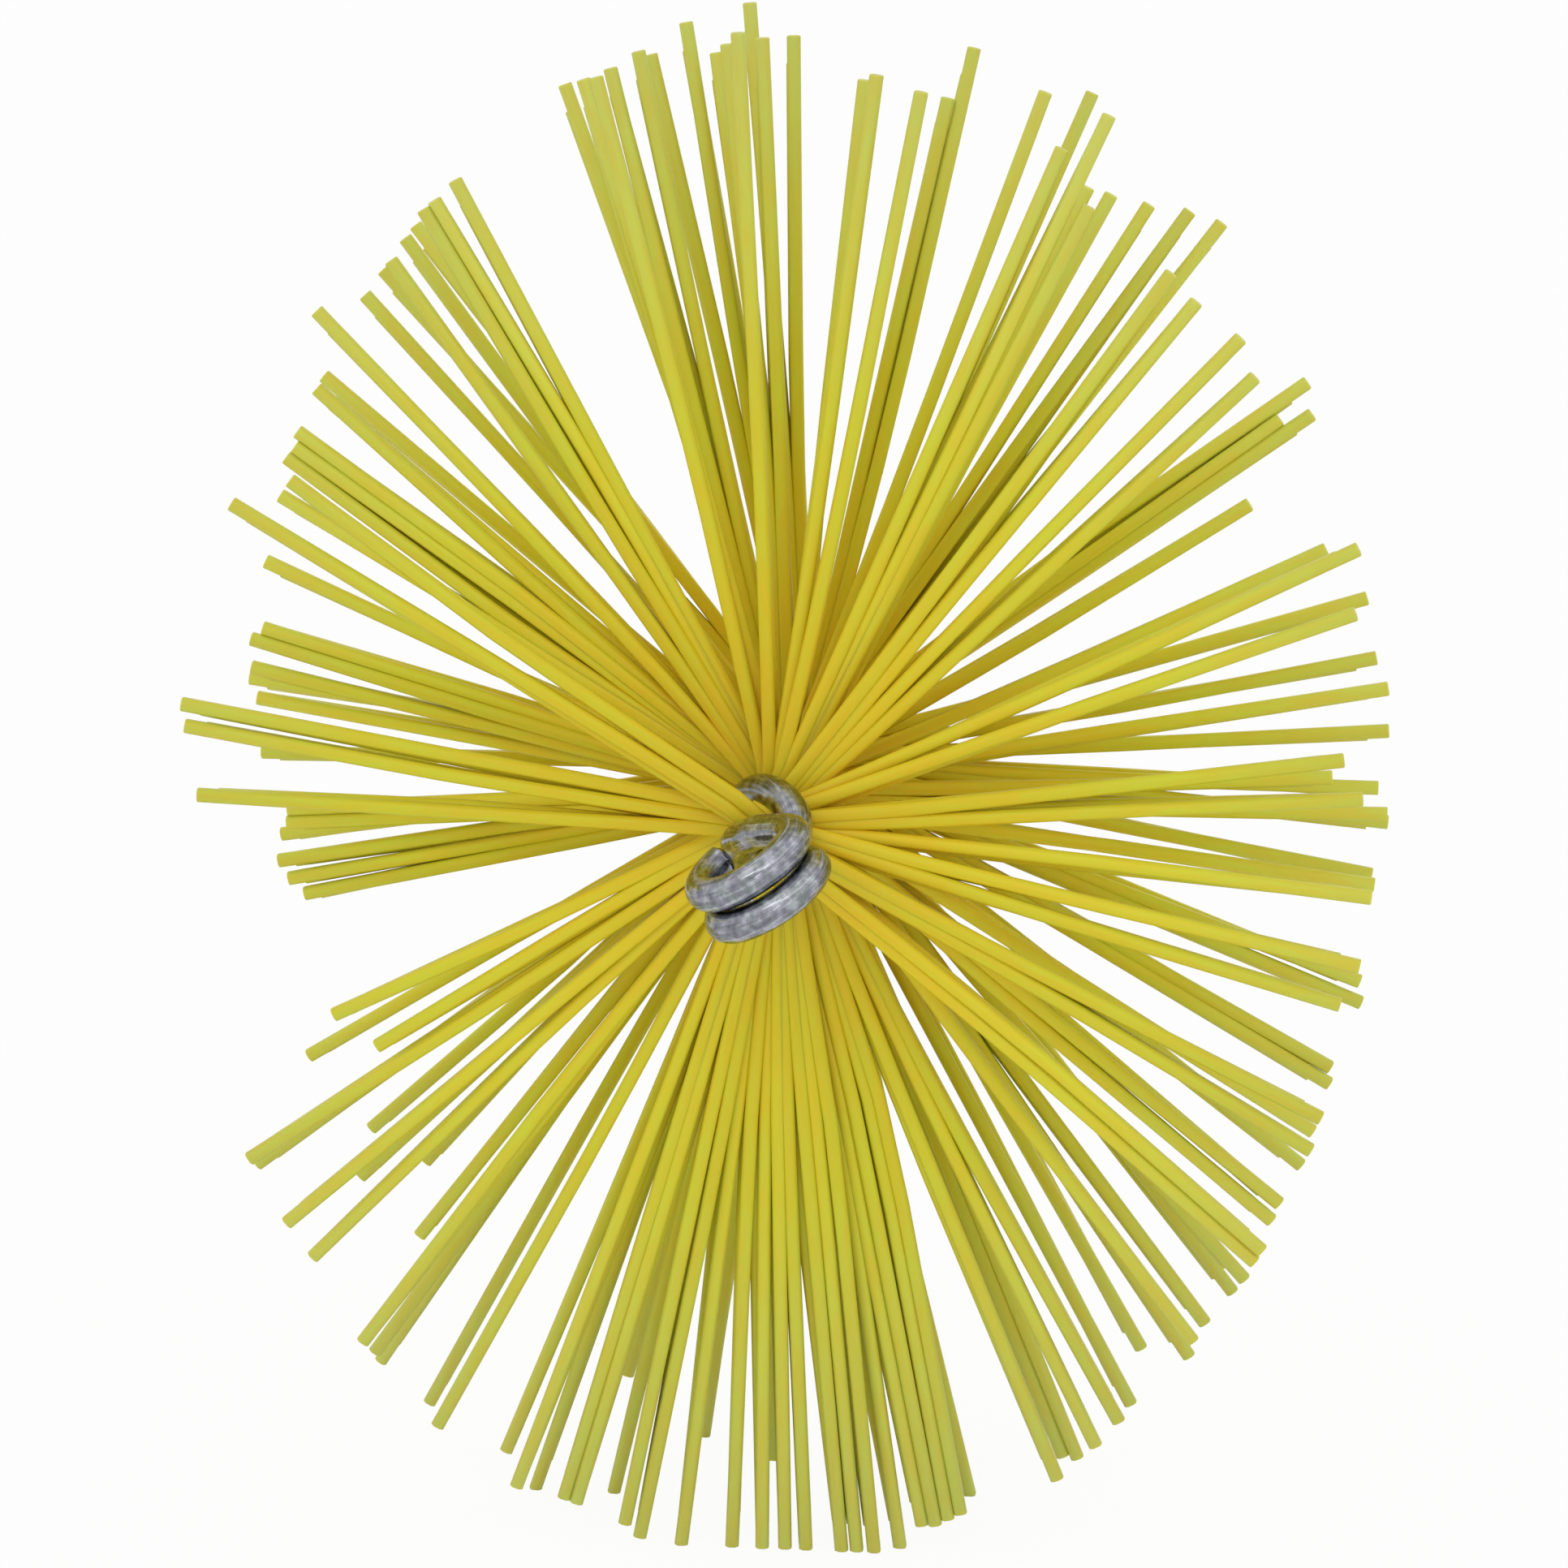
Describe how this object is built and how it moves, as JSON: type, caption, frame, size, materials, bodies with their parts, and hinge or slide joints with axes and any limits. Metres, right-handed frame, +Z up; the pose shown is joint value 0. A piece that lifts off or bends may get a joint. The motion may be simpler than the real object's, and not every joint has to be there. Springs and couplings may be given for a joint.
{
  "type": "chimney sweep brush",
  "caption": "Round chimney sweep brush: stiff plastic strands in a flat fan, gripped between two twisted galvanised wires that end in a pulling eye at each end.",
  "frame": {"origin": "on the ground below the middle of the brush, which stands on its lowest strands", "axes": "+Y along the twisted stem, away from the eye that is seen; +Z up across the fan of strands; +X to the right as seen from the near eye"},
  "size_m": [0.1917, 0.1294, 0.2504],
  "materials": {
    "galvanised_wire": "dull zinc coat with fine lengthwise draw lines and faint mottling",
    "yellow_plastic": "slightly translucent, smooth, soft sheen"
  },
  "bodies": {
    "root": {"wire_a": "galvanised_wire", "wire_b": "galvanised_wire", "bristle_row_01": "yellow_plastic", "bristle_row_02": "yellow_plastic", "bristle_row_03": "yellow_plastic", "bristle_row_04": "yellow_plastic", "bristle_row_05": "yellow_plastic", "bristle_row_06": "yellow_plastic", "bristle_row_07": "yellow_plastic", "bristle_row_08": "yellow_plastic", "bristle_row_09": "yellow_plastic", "bristle_row_10": "yellow_plastic", "bristle_row_11": "yellow_plastic", "bristle_row_12": "yellow_plastic", "bristle_row_13": "yellow_plastic", "bristle_row_14": "yellow_plastic", "bristle_row_15": "yellow_plastic", "bristle_row_16": "yellow_plastic", "bristle_row_17": "yellow_plastic", "bristle_row_18": "yellow_plastic", "bristle_row_19": "yellow_plastic", "bristle_row_20": "yellow_plastic", "bristle_row_21": "yellow_plastic", "bristle_row_22": "yellow_plastic", "bristle_row_23": "yellow_plastic", "bristle_row_24": "yellow_plastic", "bristle_row_25": "yellow_plastic", "bristle_row_26": "yellow_plastic", "bristle_row_27": "yellow_plastic", "bristle_row_28": "yellow_plastic", "bristle_row_29": "yellow_plastic", "bristle_row_30": "yellow_plastic"}
  },
  "joints": []
}
